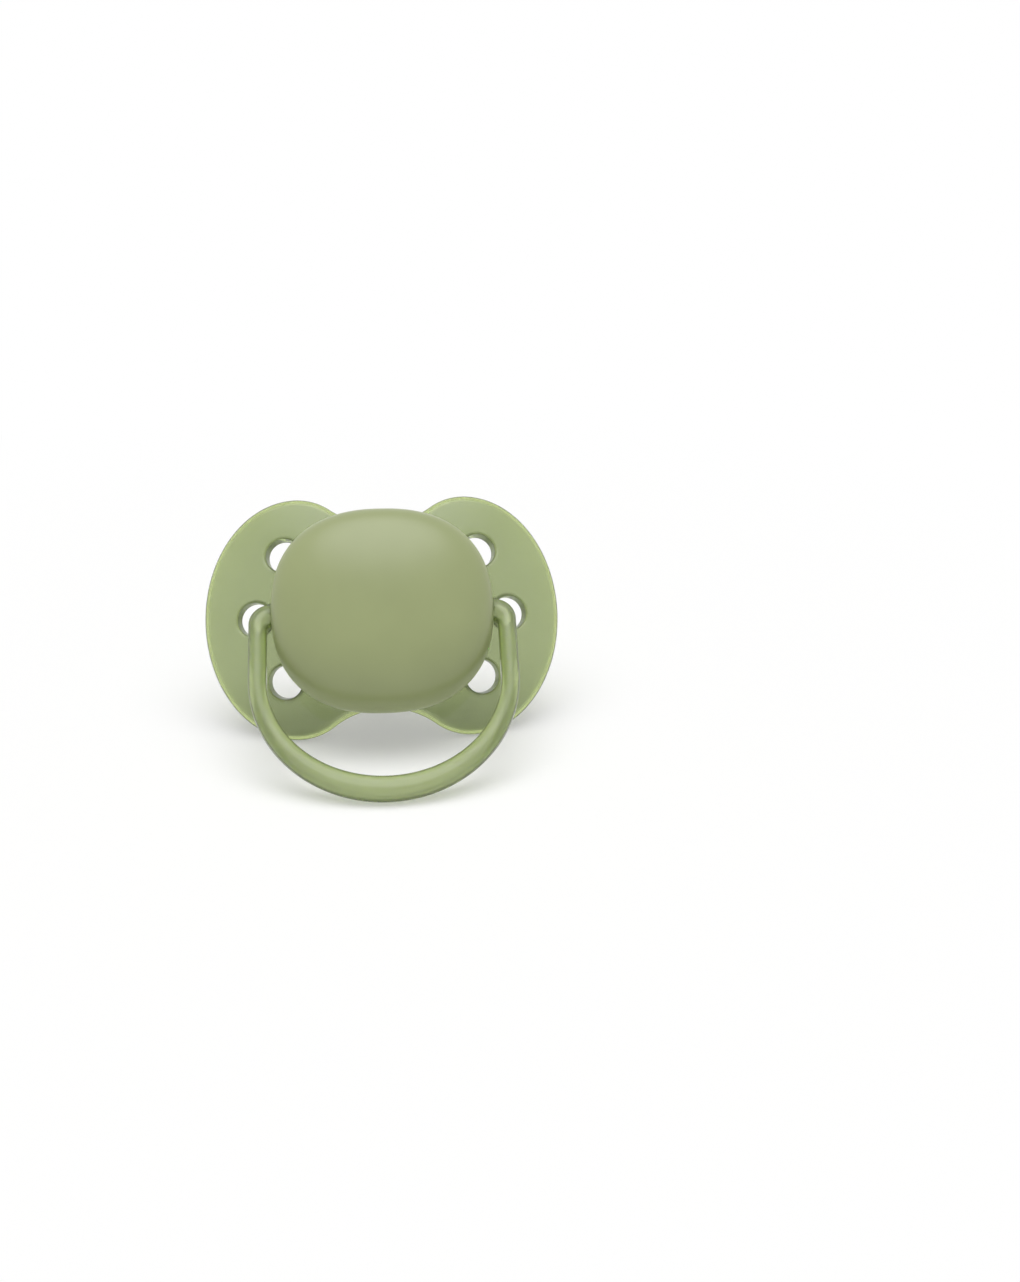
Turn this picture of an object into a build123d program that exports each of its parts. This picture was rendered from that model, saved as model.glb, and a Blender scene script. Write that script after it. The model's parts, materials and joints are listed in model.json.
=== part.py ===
from build123d import *
from math import atan2, cos, degrees, hypot, pi, radians, sin, sqrt
import os

os.makedirs("parts", exist_ok=True)

# Driving dimensions, in millimetres.
# The soother's own axes: x along the long side of the shield, y along its short side,
# z towards the tip of the teat, from the face of the shield's hub that carries the teat.

# Shield: a dished butterfly of soft plastic
shield_width = 58.0
shield_height = 39.2
lobe_x = 13.9  # the highest point of each lobe is this far from the middle
lobe_radius = 9.6  # inner side of each lobe
waist_half = 15.0  # half the height of the shield at its middle
hub_flat_radius = 13.0  # the face is flat this far out, then it rises to the wing tips
tip_rise = 3.4  # the wing tips stand this far above the hub's face
back_depth = 5.6  # middle of the dished back, behind the hub's face
back_radius = 70.4  # curvature of the dished back
rim_round = 1.15
vent_radius = 2.7
vent_round = 0.45
corner_vent = (15.7, 10.2)
side_vent_x = 20.45
skin = 0.9  # soft skin over the face of the core plate
fit_gap = 0.1  # between pieces that stay together

# Teat: one hollow silicone moulding with a square pad and a round flange at its foot
teat_length = 29.8
bulb_radius = 6.95
bulb_z = 21.9
neck_radius = 4.9
neck_foot_radius = 4.6
teat_wall = 1.1
bore_radius = 3.8  # at the foot, round the plug
neck_height = 8.0  # the neck is this far from the hub
pad_side = 11.4
pad_corner = 3.5
stem_radius = 5.2
flange_radius = 7.2

# Core plate: hard plate inside the shield's hub, which also closes the knob
core_half_x = 14.4
core_half_y = 13.3
knob_back = -4.5  # z of the joint between the core plate and the knob cover
web_back = -3.1  # back of the plate's web round the teat's stem
lock_rim_depth = 2.2
lock_rim_wall = 1.1

# Teat plug: pressed into the foot of the teat from the knob side
plug_head = 1.4
plug_head_radius = 8.7
plug_shaft_radius = 3.7
plug_shoulder = -0.4  # where the shaft ends and the tip begins
plug_tip_foot = 2.4
plug_tip_top = 1.5
plug_tip_height = 2.6

# Knob cover: a domed shell with a rounded-rectangle outline
knob_half_x = 17.5
knob_half_y = 16.2
knob_power = 2.35  # exponent of the superellipse outline
knob_widest = -11.2
knob_back_reach = 12.0  # half depth of the ellipse behind the widest section
knob_front_reach = 6.9  # half depth of the dome in front of it
dome_power = 2.1
knob_wall = 1.6
stand_flat = 0.3  # the flat at the front, as a share of the widest section

# Ring handle and its pivots
pivot_z = -8.3
pivot_hole_radius = 3.0
slot_width = 6.8
journal_radius = 2.4
collar_radius = 3.4
collar_face = 12.9  # outer face of the collars that keep the handle in
collar_thickness = 1.1
ring_half_width = 21.15
ring_reach = 32.7  # from the pivot axis to the outer end
ring_arm = 2.9  # thickness of the two arms
ring_grip = 3.9  # thickness of the rounded end
ring_band = 3.9  # width of the band across the handle
ring_end_rise = 20.9  # half axis of the elliptical end
shoulder_radius = 3.3
ring_round = 1.25
inner_shoulder = 1.7
journal_face = 17.1
stub_inner = 16.2  # the stubs end inside the journals

# How the soother lies on the table: on the tip of the teat and the two lower lobes,
# with the handle dropped forward until its end touches the table too.
lean = 27.3353  # the shield leans back this far from upright
hub_y = 3.0515
hub_z = 17.6258
ring_dip = 38.6584  # the handle points this far below straight ahead

REST = Plane(
    origin=(0, hub_y, hub_z),
    x_dir=(-1, 0, 0),
    z_dir=(0, cos(radians(lean)), -sin(radians(lean))),
)
AXIS = Axis(REST.origin, REST.z_dir)
PROFILE = Plane(origin=REST.origin, x_dir=REST.x_dir, z_dir=-REST.y_dir)  # (radius, z)
PIVOT = Plane(origin=REST.from_local_coords((0, 0, pivot_z)), x_dir=REST.y_dir, z_dir=REST.x_dir)
RING = Plane(
    origin=PIVOT.origin,
    x_dir=(1, 0, 0),
    z_dir=(0, sin(radians(ring_dip)), -cos(radians(ring_dip))),
)


def superellipse(half_x, half_y, power, count=32):
    """Points of a rounded-rectangle outline."""
    points = []
    for i in range(count):
        c, s = cos(2 * pi * i / count), sin(2 * pi * i / count)
        reach = (abs(c) ** power + abs(s) ** power) ** (-1 / power)
        points.append((half_x * reach * c, half_y * reach * s))
    return points


def knob_share(z):
    """Size of the knob's section at z, as a share of its widest section."""
    if z >= knob_widest:
        return sqrt(1 - ((z - knob_widest) / knob_back_reach) ** 2)
    return (1 - ((knob_widest - z) / knob_front_reach) ** dome_power) ** (1 / dome_power)


def dome_depth(share):
    """How far in front of the widest section the dome has shrunk to this share."""
    return knob_front_reach * (1 - share**dome_power) ** (1 / dome_power)


knob_front = knob_widest - dome_depth(stand_flat)

# Shield outline: elliptical outside, round lobes, and a waist arc tangent to both lobes
lobe_y = shield_height / 2 - lobe_radius
waist_step = waist_half - lobe_y
waist_radius = (lobe_x**2 + waist_step**2 - lobe_radius**2) / (2 * (lobe_radius - waist_step))
lobe_turn = degrees(atan2(waist_step + waist_radius, -lobe_x)) - 90
wing_half = shield_width / 2
face_radius = ((wing_half - hub_flat_radius) ** 2 + tip_rise**2) / (2 * tip_rise)
blank_radius = wing_half + 2  # the dished blank reaches past the outline


def face_height(radius):
    """Height of the shield's face above the hub at this radius."""
    out = max(0.0, radius - hub_flat_radius)
    return face_radius - sqrt(face_radius**2 - out**2)


def back_height(radius):
    """Height of the shield's dished back at this radius."""
    return back_radius - sqrt(back_radius**2 - radius**2) - back_depth


def vent_plane(x, y):
    """A plane along the middle of the shield at (x, y), and the shield's half thickness there."""
    radius = hypot(x, y)
    step = 0.5
    rise = face_height(radius + step) + back_height(radius + step)
    rise -= face_height(radius - step) + back_height(radius - step)
    slope = rise / (4 * step)
    middle = (face_height(radius) + back_height(radius)) / 2
    normal = Vector(-slope * x / radius, -slope * y / radius, 1)
    tip = REST.from_local_coords(Vector(x, y, middle) + normal)
    base = REST.from_local_coords((x, y, middle))
    half = (face_height(radius) - back_height(radius)) / 2 / sqrt(1 + slope**2)
    return Plane(origin=base, x_dir=REST.x_dir, z_dir=tip - base), half


vents = [(side_vent_x, 0), (-side_vent_x, 0)]
for side in (1, -1):
    for level in (1, -1):
        vents.append((side * corner_vent[0], level * corner_vent[1]))

with BuildPart() as shield:
    with BuildSketch(PROFILE):
        with BuildLine():
            hub_face = Line((0, 0), (hub_flat_radius, 0))
            TangentArc(hub_face @ 1, (blank_radius, face_height(blank_radius)), tangent=(1, 0))
            Line((blank_radius, face_height(blank_radius)), (blank_radius, back_height(blank_radius)))
            TangentArc((0, -back_depth), (blank_radius, back_height(blank_radius)), tangent=(1, 0))
            Line((0, -back_depth), (0, 0))
        make_face()
    revolve(axis=AXIS)
    with BuildSketch(REST.offset(-2 * back_depth)):
        with BuildLine():
            wing = EllipticalCenterArc(
                (lobe_x, 0), wing_half - lobe_x, shield_height / 2, start_angle=0, arc_size=90
            )
            lobe = CenterArc((lobe_x, lobe_y), lobe_radius, 90, lobe_turn)
            TangentArc(lobe @ 1, (0, waist_half), tangent=lobe % 1)
            mirror(about=Plane.YZ)
            mirror(about=Plane.XZ)
        make_face()
    extrude(amount=4 * back_depth, mode=Mode.INTERSECT)
    fillet(shield.edges().filter_by(lambda edge: edge.length > 3), radius=rim_round)
    with BuildSketch(REST.offset(-2 * back_depth)):
        with BuildLine():
            Spline(*superellipse(core_half_x + fit_gap, core_half_y + fit_gap, knob_power), periodic=True)
        make_face()
    extrude(amount=2 * back_depth - skin, mode=Mode.SUBTRACT)
    with BuildSketch(REST.offset(-2 * skin)):
        RectangleRounded(pad_side + 2 * fit_gap, pad_side + 2 * fit_gap, pad_corner)
    extrude(amount=4 * skin, mode=Mode.SUBTRACT)
    for x, y in vents:
        across, half = vent_plane(x, y)
        with BuildSketch(Plane(origin=across.origin, x_dir=across.x_dir, z_dir=-across.y_dir)):
            with BuildLine():
                mouth = vent_radius + vent_round
                lip = half - vent_round
                Polyline((vent_radius, -lip), (vent_radius, lip))
                RadiusArc((vent_radius, lip), (mouth, half), vent_round)
                Polyline((mouth, half), (mouth, back_depth), (0, back_depth), (0, -back_depth))
                Polyline((0, -back_depth), (mouth, -back_depth), (mouth, -half))
                RadiusArc((mouth, -half), (vent_radius, -lip), vent_round)
            make_face()
        revolve(axis=Axis(across.origin, across.z_dir), mode=Mode.SUBTRACT)
shield.part.label = "shield"
export_step(shield.part, "parts/shield.step")

# Teat: outside and bore as one revolved profile, then the square pad that lies in the shield
with BuildPart() as teat:
    with BuildSketch(PROFILE):
        with BuildLine():
            Spline(
                (neck_foot_radius, 0),
                (neck_radius, neck_height),
                (bulb_radius, bulb_z),
                (0, teat_length),
                tangents=[(0.04, 1), (0.02, 1), (0, 1), (-1, 0)],
            )
            Line((0, teat_length), (0, teat_length - teat_wall))
            Spline(
                (0, teat_length - teat_wall),
                (bulb_radius - teat_wall, bulb_z),
                (neck_radius - teat_wall, neck_height),
                (bore_radius, 0),
                tangents=[(1, 0), (0, -1), (-0.02, -1), (0, -1)],
            )
            Polyline(
                (bore_radius, 0),
                (bore_radius, knob_back),
                (flange_radius, knob_back),
                (flange_radius, web_back),
                (stem_radius, web_back),
                (stem_radius, -skin),
                (neck_foot_radius, -skin),
                (neck_foot_radius, 0),
            )
        make_face()
    revolve(axis=AXIS)
    with BuildSketch(REST.offset(-skin)):
        RectangleRounded(pad_side, pad_side, pad_corner)
        Circle(bore_radius, mode=Mode.SUBTRACT)
    extrude(amount=skin - 2 * fit_gap)
teat.part.label = "teat"
export_step(teat.part, "parts/teat.step")

# Knob shell: an outer and an inner dome, each lofted through sections of the same outline
section_count = 6
dome_shares = [cos(pi / 2 * i / section_count) for i in range(1, section_count)] + [stand_flat]


def dome_sections(inset):
    """Heights and half sizes of the knob's sections, this far inside its outer surface."""
    rows = []
    for i in range(section_count + 1):
        z = knob_back + (knob_widest - knob_back) * i / section_count
        rows.append((z, knob_share(z)))
    rows += [(knob_widest - dome_depth(share), share) for share in dome_shares]
    shrink = (knob_widest - knob_front - inset) / (knob_widest - knob_front)
    sections = []
    for z, share in rows:
        if z < knob_widest:
            z = knob_widest + (z - knob_widest) * shrink
        sections.append((z, knob_half_x * share - inset, knob_half_y * share - inset))
    return sections


with BuildPart() as knob_shell:
    for inset in (0, knob_wall):
        for z, half_x, half_y in dome_sections(inset):
            with BuildSketch(REST.offset(z)):
                with BuildLine():
                    Spline(*superellipse(half_x, half_y, knob_power), periodic=True)
                make_face()
        loft(mode=Mode.SUBTRACT if inset else Mode.ADD)

# Knob cover: the shell with a slot at each end, open towards the shield, for the handle
with BuildPart() as knob_cover:
    add(knob_shell.part)
    for side in (1, -1):
        with BuildSketch(PIVOT.offset(side * (collar_face - collar_thickness))):
            Circle(pivot_hole_radius)
            with Locations((0, (knob_back - pivot_z) / 2)):
                Rectangle(slot_width, knob_back - pivot_z)
        extrude(amount=side * knob_half_x, mode=Mode.SUBTRACT)
knob_cover.part.label = "knob_cover"
export_step(knob_cover.part, "parts/knob_cover.step")

# Tabs of the core plate: they fill the slots, down to the pivot holes
with BuildPart() as tabs:
    add(knob_shell.part)
    with BuildSketch(PIVOT):
        with Locations((0, (knob_back - pivot_z) / 2)):
            Rectangle(slot_width - 2 * fit_gap, knob_back - pivot_z)
        Circle(pivot_hole_radius, mode=Mode.SUBTRACT)
    extrude(amount=knob_half_x, both=True, mode=Mode.INTERSECT)

# Core plate: sits in the shield's hub, carries the teat and closes the back of the knob
with BuildPart() as core_plate:
    with BuildSketch(REST.offset(knob_back)):
        with BuildLine():
            Spline(*superellipse(core_half_x, core_half_y, knob_power), periodic=True)
        make_face()
    extrude(amount=-skin - knob_back)
    with BuildSketch(REST.offset(knob_back)):
        for wall in (0, lock_rim_wall):
            inset = knob_wall + 2 * fit_gap + wall
            rim_x = knob_half_x * knob_share(knob_back) - inset
            rim_y = knob_half_y * knob_share(knob_back) - inset
            with BuildLine():
                Spline(*superellipse(rim_x, rim_y, knob_power), periodic=True)
            make_face(mode=Mode.SUBTRACT if wall else Mode.ADD)
    extrude(amount=-lock_rim_depth)
    # room for the collars of the handle, then for the flange and the stem of the teat
    with BuildSketch(PIVOT):
        Circle(collar_radius + 6 * fit_gap)
    extrude(amount=knob_half_x, both=True, mode=Mode.SUBTRACT)
    for radius, top in ((flange_radius, web_back), (stem_radius, 0)):
        with BuildSketch(REST.offset(knob_back)):
            Circle(radius + fit_gap)
        extrude(amount=top - knob_back, mode=Mode.SUBTRACT)
    add(tabs.part)
core_plate.part.label = "core_plate"
export_step(core_plate.part, "parts/core_plate.step")

# Teat plug: a head under the teat's flange, a shaft up its bore and a cone-shaped tip
with BuildPart() as teat_plug:
    with BuildSketch(PROFILE):
        with BuildLine():
            Polyline(
                (0, knob_back - plug_head),
                (plug_head_radius, knob_back - plug_head),
                (plug_head_radius, knob_back),
                (plug_shaft_radius, knob_back),
                (plug_shaft_radius, plug_shoulder),
                (plug_tip_foot, plug_shoulder),
                (plug_tip_top, plug_shoulder + plug_tip_height),
                (0, plug_shoulder + plug_tip_height),
                close=True,
            )
        make_face()
    revolve(axis=AXIS)
    fillet(teat_plug.edges().sort_by(AXIS)[-1], radius=0.4)
teat_plug.part.label = "teat_plug"
export_step(teat_plug.part, "parts/teat_plug.step")

# Ring handle: a U-shaped band whose arms bend inwards to the two pivot journals. It is made lying flat
# round its pivot axis, then put in place.
ring_arm_end = ring_reach - ring_end_rise
ring_inner_half = ring_half_width - ring_arm
with BuildPart() as flat_ring:
    with BuildSketch():
        with BuildLine():
            EllipticalCenterArc(
                (0, ring_arm_end), ring_half_width, ring_end_rise, start_angle=0, arc_size=180
            )
            Line((ring_half_width, ring_arm_end), (ring_half_width, shoulder_radius - ring_arm / 2))
            RadiusArc(
                (ring_half_width, shoulder_radius - ring_arm / 2),
                (ring_half_width - shoulder_radius, -ring_arm / 2),
                shoulder_radius,
            )
            Line((ring_half_width - shoulder_radius, -ring_arm / 2), (0, -ring_arm / 2))
            Line((0, -ring_arm / 2), (shoulder_radius - ring_half_width, -ring_arm / 2))
            RadiusArc(
                (shoulder_radius - ring_half_width, -ring_arm / 2),
                (-ring_half_width, shoulder_radius - ring_arm / 2),
                shoulder_radius,
            )
            Line((-ring_half_width, shoulder_radius - ring_arm / 2), (-ring_half_width, ring_arm_end))
        make_face()
        with BuildLine():
            EllipticalCenterArc(
                (0, ring_arm_end), ring_inner_half, ring_end_rise - ring_grip, start_angle=0, arc_size=180
            )
            FilletPolyline(
                (ring_inner_half, ring_arm_end),
                (ring_inner_half, ring_arm / 2),
                (-ring_inner_half, ring_arm / 2),
                (-ring_inner_half, ring_arm_end),
                radius=inner_shoulder,
            )
        make_face(mode=Mode.SUBTRACT)
        Rectangle(2 * stub_inner, 2 * ring_arm, mode=Mode.SUBTRACT)
    extrude(amount=ring_band / 2, both=True)
    across_band = flat_ring.edges().group_by(Axis.Z)
    fillet(across_band[0] + across_band[-1], radius=ring_round)
    for side in (1, -1):
        with BuildSketch(Plane.YZ.offset(side * journal_face)):
            Circle(journal_radius)
        extrude(amount=side * (collar_face - journal_face))
        with BuildSketch(Plane.YZ.offset(side * collar_face)):
            Circle(collar_radius)
        extrude(amount=-side * collar_thickness)
with BuildPart() as ring_handle:
    add(RING.from_local_coords(flat_ring.part))
ring_handle.part.label = "ring_handle"
export_step(ring_handle.part, "parts/ring_handle.step")

for piece in (shield, teat, core_plate, teat_plug, knob_cover, ring_handle):
    size = piece.part.bounding_box().size
    print(f"{piece.part.label:12} {size.X:6.2f} x {size.Y:6.2f} x {size.Z:6.2f} mm, {piece.part.volume:8.1f} mm3")
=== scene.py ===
# %% [markdown]
# # Pacifier with a butterfly shield, a round teat, a domed knob and a ring handle
# The soother leans back on the tip of its teat and the two lower lobes of its shield. Its knob faces
# the viewer and its ring handle hangs forward to the table. The CAD frame gives where everything sits,
# and this script gives each piece its real surface: rounded rims, soft vent edges, silicone and plastics.

# %% The frame
import json
import math
import bmesh
import bpy
import numpy as np
from mathutils import Matrix, Vector
from mathutils.geometry import delaunay_2d_cdt

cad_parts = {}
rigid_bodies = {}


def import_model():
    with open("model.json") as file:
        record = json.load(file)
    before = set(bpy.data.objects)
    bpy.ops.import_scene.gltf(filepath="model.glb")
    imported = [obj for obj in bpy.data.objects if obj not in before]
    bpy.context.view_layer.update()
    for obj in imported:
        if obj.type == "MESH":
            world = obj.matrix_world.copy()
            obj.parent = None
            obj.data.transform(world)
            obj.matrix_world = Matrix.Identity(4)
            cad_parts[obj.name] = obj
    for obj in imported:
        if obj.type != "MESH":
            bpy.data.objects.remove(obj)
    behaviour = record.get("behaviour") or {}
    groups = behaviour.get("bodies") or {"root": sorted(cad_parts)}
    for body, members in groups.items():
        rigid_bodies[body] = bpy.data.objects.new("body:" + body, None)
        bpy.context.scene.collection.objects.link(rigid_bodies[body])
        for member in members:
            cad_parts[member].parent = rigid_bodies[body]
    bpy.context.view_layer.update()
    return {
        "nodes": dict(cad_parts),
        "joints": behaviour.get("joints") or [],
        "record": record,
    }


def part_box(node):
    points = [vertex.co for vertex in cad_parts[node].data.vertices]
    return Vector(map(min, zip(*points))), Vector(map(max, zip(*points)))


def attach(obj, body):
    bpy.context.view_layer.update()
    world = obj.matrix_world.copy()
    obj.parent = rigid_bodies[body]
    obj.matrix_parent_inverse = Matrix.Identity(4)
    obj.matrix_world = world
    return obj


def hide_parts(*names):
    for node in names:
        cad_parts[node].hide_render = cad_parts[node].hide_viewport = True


for leftover in list(bpy.data.objects):
    bpy.data.objects.remove(leftover)
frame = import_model()
print("pieces in the frame:", ", ".join(sorted(frame["nodes"])))

# %% [markdown]
# ## Where the soother sits
# All the moulded pieces share one set of axes: x along the shield's long side, y along its short side and
# z towards the tip of the teat, from the hub's face. The pivot of the handle lies on that z axis, and the
# point of the teat farthest from the pivot is its tip, so those two points of the frame give the axes.

# %% Axes of the soother and of its handle
mm = 0.001
pivot = Vector(frame["joints"][0]["pos_m"])
pivot_depth = 8.3  # mm from the hub's face to the pivot
vent_radius = 2.7
side_vent_x = 20.45
corner_vent = (15.7, 10.2)  # x and y of the vents in the four lobes


def half_width(node):
    """Half of a CAD piece's width, in millimetres."""
    low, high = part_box(node)
    return (high.x - low.x) / 2 / mm


def axes(origin, x_axis, z_axis):
    """A matrix that places millimetre-sized pieces: the mesh is in metres along these axes."""
    y_axis = z_axis.cross(x_axis)
    turn = Matrix((x_axis, y_axis, z_axis)).transposed().to_4x4()
    return Matrix.Translation(origin) @ turn


teat_tip = max((v.co for v in frame["nodes"]["teat"].data.vertices), key=lambda co: (co - pivot).length)
outward = (teat_tip - pivot).normalized()
hub = pivot + outward * pivot_depth * mm
soother_axes = axes(hub, Vector((-1, 0, 0)), outward)
teat_length = (teat_tip - hub).length / mm

# the handle's axes: x along its pivot and y from there towards the middle of its grip
strap_loop = next(m for m in frame["record"]["mounts"] if m["name"] == "strap_loop")
to_grip = Vector(strap_loop["pos_m"]) - pivot
ring_reach_middle = to_grip.length / mm
ring_normal = Vector(strap_loop["axis"]).normalized()
if to_grip @ ring_normal.cross(Vector((1, 0, 0))) < 0:
    ring_normal.negate()
ring_axes = axes(pivot, Vector((1, 0, 0)), ring_normal)
print(f"teat {teat_length:.1f} mm long, handle reaches {ring_reach_middle:.1f} mm from its pivot")

# %% Mesh helpers
join_distance = 0.003 * mm
crease_angle = math.radians(50)  # corners sharper than this are shaded as corners


class Surface:
    """The faces of one piece, in millimetres. Points that coincide are joined when it is made."""

    def __init__(self):
        self.points = []
        self.faces = []

    def add(self, row):
        """Adds points and returns their numbers."""
        start = len(self.points)
        self.points += row
        return range(start, len(self.points))

    def strip(self, first, second, closed=True):
        """Four-sided faces between two rows of points."""
        a, b = self.add(first), self.add(second)
        for i in range(len(a) if closed else len(a) - 1):
            j = (i + 1) % len(a)
            self.faces.append((a[i], a[j], b[j], b[i]))

    def loft(self, rows, closed=True):
        """Four-sided faces through several rows of points."""
        for first, second in zip(rows, rows[1:]):
            self.strip(first, second, closed)

    def fan(self, row, tip):
        """Triangles from a closed row of points to one point."""
        a, top = self.add(row), self.add([tip])[0]
        self.faces += [(a[i], a[(i + 1) % len(a)], top) for i in range(len(a))]

    def patch(self, loops, free, keep, lift):
        """Triangles over the flat region where keep is true, through loops and free points, all lifted."""
        flat, edges = [], []
        for row in loops:
            start = len(flat)
            flat += row
            edges += [(start + i, start + (i + 1) % len(row)) for i in range(len(row))]
        flat += free
        corners = [Vector(p) for p in flat]
        found, _, triangles, sources, _, _ = delaunay_2d_cdt(corners, edges, [], 0, 1e-7, True)
        numbers = self.add([lift(*p) for p in flat])
        for tri in triangles:
            middle = (found[tri[0]] + found[tri[1]] + found[tri[2]]) / 3
            if keep(middle.x, middle.y):
                self.faces.append(tuple(numbers[sources[i][0]] for i in tri))

    def piece(self, name, placed, body, material, replaced=None):
        """The finished smooth mesh, placed along the given axes and riding on a CAD body."""
        mesh = bpy.data.meshes.new(name)
        mesh.from_pydata([placed @ (Vector(p) * mm) for p in self.points], [], self.faces)
        whole = bmesh.new()
        whole.from_mesh(mesh)
        bmesh.ops.remove_doubles(whole, verts=whole.verts, dist=join_distance)
        loose = [point for point in whole.verts if not point.link_faces]
        bmesh.ops.delete(whole, geom=loose, context="VERTS")
        bmesh.ops.recalc_face_normals(whole, faces=whole.faces)
        open_edges = sum(len(edge.link_faces) != 2 for edge in whole.edges)
        whole.to_mesh(mesh)
        whole.free()
        mesh.polygons.foreach_set("use_smooth", [True] * len(mesh.polygons))
        mesh.set_sharp_from_angle(angle=crease_angle)
        mesh.materials.append(material)
        made = bpy.data.objects.new(name, mesh)
        bpy.context.scene.collection.objects.link(made)
        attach(made, body)
        if replaced:
            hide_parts(replaced)
        print(f"{name}: {len(mesh.vertices)} points, {len(mesh.polygons)} faces, {open_edges} open edges")
        return made


def superellipse(half_x, half_y, power, count):
    """Points of a rounded-rectangle outline."""
    points = []
    for i in range(count):
        c, s = math.cos(2 * math.pi * i / count), math.sin(2 * math.pi * i / count)
        reach = (abs(c) ** power + abs(s) ** power) ** (-1 / power)
        points.append((half_x * reach * c, half_y * reach * s))
    return points


def rounded_square(side_length, corner, count):
    """Points of a square with round corners."""
    flat = side_length / 2 - corner
    row = []
    for i in range(count):
        turn = 2 * math.pi * (i + 0.5) / count
        c, s = math.cos(turn), math.sin(turn)
        row.append((math.copysign(flat, c) + corner * c, math.copysign(flat, s) + corner * s))
    return row


def circle(x, y, radius, count):
    """Points of a circle."""
    turns = [2 * math.pi * i / count for i in range(count)]
    return [(x + radius * math.cos(t), y + radius * math.sin(t)) for t in turns]


def straight(start, end, count):
    """Evenly spaced points from start up to, but not with, the end."""
    shares = [i / count for i in range(count)]
    return [(start[0] + (end[0] - start[0]) * t, start[1] + (end[1] - start[1]) * t) for t in shares]


def eased(share):
    """A share from 0 to 1 that starts and ends gently."""
    return share * share * (3 - 2 * share)


def at_height(row, z):
    """Flat points raised to one height."""
    return [(x, y, z) for x, y in row]


def distance_to(loop, x, y):
    """Shortest distance from a point to a closed outline."""
    a = np.array(loop)
    step = np.roll(a, -1, axis=0) - a
    to_point = np.array((x, y)) - a
    share = np.clip((to_point * step).sum(1) / np.maximum((step**2).sum(1), 1e-12), 0, 1)
    return float(np.sqrt(((to_point - step * share[:, None]) ** 2).sum(1).min()))


def inside(loop, x, y):
    """True if a point lies inside a closed outline."""
    a = np.array(loop)
    b = np.roll(a, -1, axis=0)
    crosses = (a[:, 1] > y) != (b[:, 1] > y)
    at = a[crosses, 0] + (y - a[crosses, 1]) * (b - a)[crosses, 0] / (b - a)[crosses, 1]
    return bool((x < at).sum() % 2)


def grid_points(half_x, half_y, step):
    """Evenly spread points over a rectangle, every other row moved along by half a step."""
    points = []
    row_step = 0.866  # height of a triangle whose sides are 1
    rows, columns = int(half_y / step / row_step), int(half_x / step)
    for j in range(-rows, rows + 1):
        for i in range(-columns, columns + 1):
            points.append(((i + 0.5 * (j % 2)) * step, j * step * row_step))
    return points


# %% [markdown]
# ## Materials
# The shield and the handle are clear plastics tinted with a soft green and full of light: they scatter what
# goes in and let some of it through. Their base colour carries a painted glow on the rounded rims and painted
# shade along the outlines and on the vents' walls. The knob is the same green, opaque, with the fine matt
# texture that a spark-eroded mould leaves. The teat is clear silicone, frosted over its bulb.

# %% Node helpers and shared effects


def node_group(name, inputs, outputs):
    """An empty shader group with the given sockets."""
    group = bpy.data.node_groups.new(name, "ShaderNodeTree")
    for label, kind, value in inputs:
        socket = group.interface.new_socket(name=label, in_out="INPUT", socket_type=kind)
        if value is not None:
            socket.default_value = value
    for label, kind in outputs:
        group.interface.new_socket(name=label, in_out="OUTPUT", socket_type=kind)
    start = group.nodes.new("NodeGroupInput")
    end = group.nodes.new("NodeGroupOutput")
    return group, start, end


def link(tree, source, target):
    """Joins two sockets."""
    tree.links.new(source, target)


def add_noise(tree, vector, scale, detail, roughness=0.5):
    """A noise texture in object space, with scale in bumps per metre."""
    noise = tree.nodes.new("ShaderNodeTexNoise")
    noise.inputs["Scale"].default_value = scale
    noise.inputs["Detail"].default_value = detail
    noise.inputs["Roughness"].default_value = roughness
    link(tree, vector, noise.inputs["Vector"])
    return noise.outputs["Fac"]


def add_ramp(tree, value, low, high, low_out=0.0, high_out=1.0):
    """Maps a value from one range to another, held at the ends."""
    ramp = tree.nodes.new("ShaderNodeMapRange")
    ramp.inputs["From Min"].default_value = low
    ramp.inputs["From Max"].default_value = high
    ramp.inputs["To Min"].default_value = low_out
    ramp.inputs["To Max"].default_value = high_out
    link(tree, value, ramp.inputs["Value"])
    return ramp.outputs["Result"]


def add_math(tree, operation, *values):
    """A maths node on sockets or numbers."""
    node = tree.nodes.new("ShaderNodeMath")
    node.operation = operation
    for socket, value in zip(node.inputs, values):
        if isinstance(value, (int, float)):
            socket.default_value = value
        else:
            link(tree, value, socket)
    return node.outputs["Value"]


def add_mix(tree, share, first, second):
    """A colour mix by a mask. first and second are colours or sockets."""
    mix = tree.nodes.new("ShaderNodeMix")
    mix.data_type = "RGBA"
    link(tree, share, mix.inputs[0])
    for socket, value in ((mix.inputs[6], first), (mix.inputs[7], second)):
        if isinstance(value, tuple):
            socket.default_value = (*value, 1.0)
        else:
            link(tree, value, socket)
    return mix.outputs[2]


def add_bump(tree, height, strength, distance):
    """Surface relief from a height."""
    bump = tree.nodes.new("ShaderNodeBump")
    bump.inputs["Strength"].default_value = strength
    bump.inputs["Distance"].default_value = distance
    link(tree, height, bump.inputs["Height"])
    return bump.outputs["Normal"]


# Slow drift of a moulded plastic's colour, as a mask, and a finer drift of its roughness
drift_group, drift_in, drift_out = node_group(
    "moulded drift",
    [("Vector", "NodeSocketVector", None)],
    [("Mask", "NodeSocketFloat"), ("Haze", "NodeSocketFloat")],
)
slow = add_noise(drift_group, drift_in.outputs["Vector"], 90.0, 2.0)
fine = add_noise(drift_group, drift_in.outputs["Vector"], 900.0, 4.0)
link(drift_group, add_ramp(drift_group, slow, 0.3, 0.7), drift_out.inputs["Mask"])
link(drift_group, add_ramp(drift_group, fine, 0.3, 0.7), drift_out.inputs["Haze"])

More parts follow.
